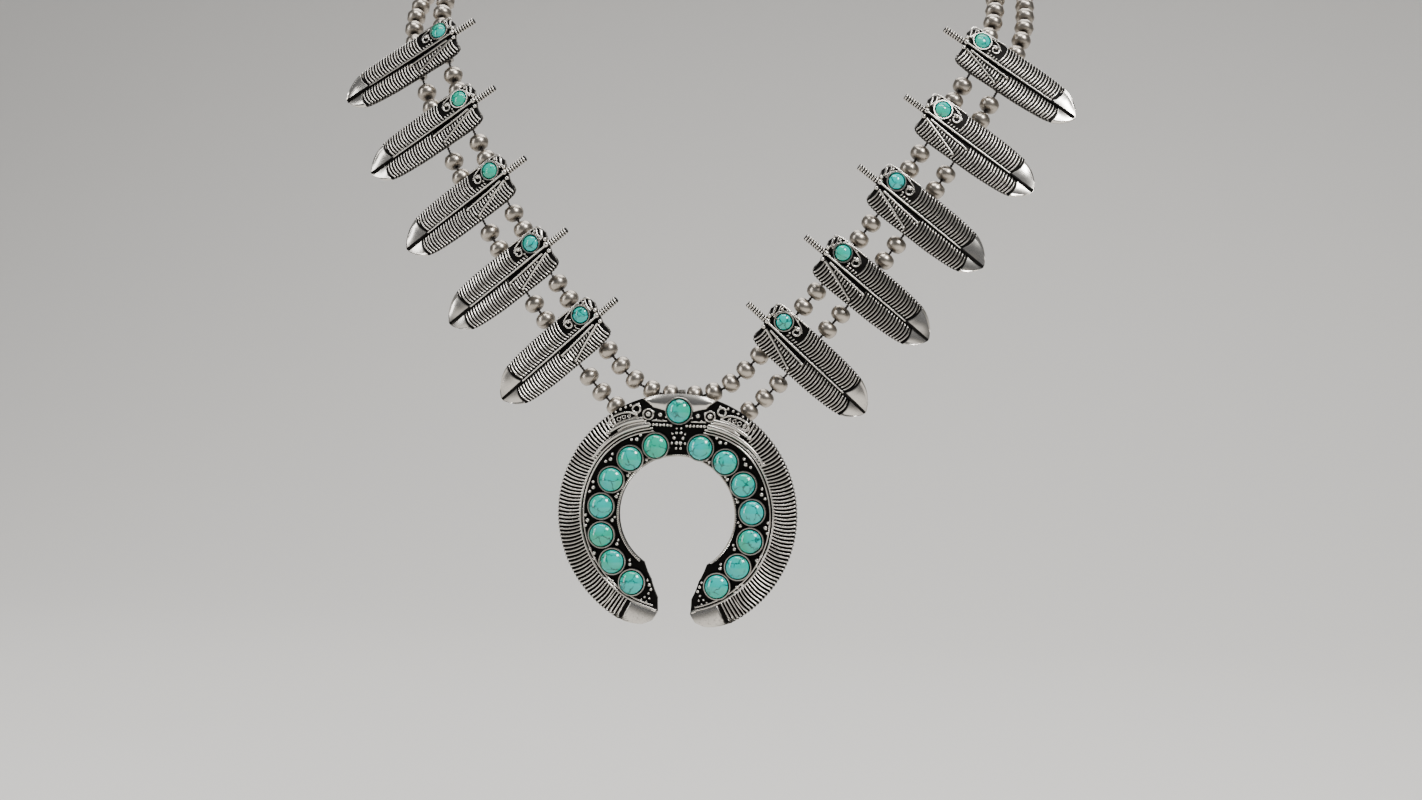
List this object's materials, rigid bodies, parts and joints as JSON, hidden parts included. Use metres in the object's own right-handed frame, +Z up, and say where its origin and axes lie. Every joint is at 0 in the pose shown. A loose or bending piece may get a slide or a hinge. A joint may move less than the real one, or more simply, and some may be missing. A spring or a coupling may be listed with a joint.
{
  "type": "squash blossom necklace",
  "caption": "Silver necklace of two bead strands with cast feathers down both sides and an open crescent pendant, all set with small round turquoise stones.",
  "frame": {"origin": "nape of the neck: the middle of the clasp, halfway between its two bores", "axes": "+Z up, +Y towards the back of the neck, +X to the right of someone who looks at the pendant; the pendant faces -Y and hangs in front and below"},
  "size_m": [0.2006, 0.1715, 0.2224],
  "materials": {
    "cast_silver": "polished ridges with dark oxidised recesses",
    "bead_silver": "worn polish with a bright seam and grey tarnish by the holes",
    "clasp_silver": "satin, lightly tarnished",
    "turquoise": "polished blue-green stone with fine dark matrix",
    "stringing_thread": "dark waxed thread"
  },
  "bodies": {
    "root": {"inner_beads_right": "bead_silver", "inner_beads_left": "bead_silver", "outer_beads_right": "bead_silver", "outer_beads_left": "bead_silver", "inner_thread": "stringing_thread", "outer_thread": "stringing_thread", "naja": "cast_silver", "naja_stone_top": "turquoise", "clasp": "clasp_silver", "feather_right_1": "cast_silver", "feather_right_2": "cast_silver", "feather_right_3": "cast_silver", "feather_right_4": "cast_silver", "feather_right_5": "cast_silver", "feather_left_1": "cast_silver", "feather_left_2": "cast_silver", "feather_left_3": "cast_silver", "feather_left_4": "cast_silver", "feather_left_5": "cast_silver", "feather_stone_right_1": "turquoise", "feather_stone_right_2": "turquoise", "feather_stone_right_3": "turquoise", "feather_stone_right_4": "turquoise", "feather_stone_right_5": "turquoise", "feather_stone_left_1": "turquoise", "feather_stone_left_2": "turquoise", "feather_stone_left_3": "turquoise", "feather_stone_left_4": "turquoise", "feather_stone_left_5": "turquoise", "naja_stone_right_1": "turquoise", "naja_stone_right_2": "turquoise", "naja_stone_right_3": "turquoise", "naja_stone_right_4": "turquoise", "naja_stone_right_5": "turquoise", "naja_stone_right_6": "turquoise", "naja_stone_right_7": "turquoise", "naja_stone_left_1": "turquoise", "naja_stone_left_2": "turquoise", "naja_stone_left_3": "turquoise", "naja_stone_left_4": "turquoise", "naja_stone_left_5": "turquoise", "naja_stone_left_6": "turquoise", "naja_stone_left_7": "turquoise"}
  },
  "joints": []
}
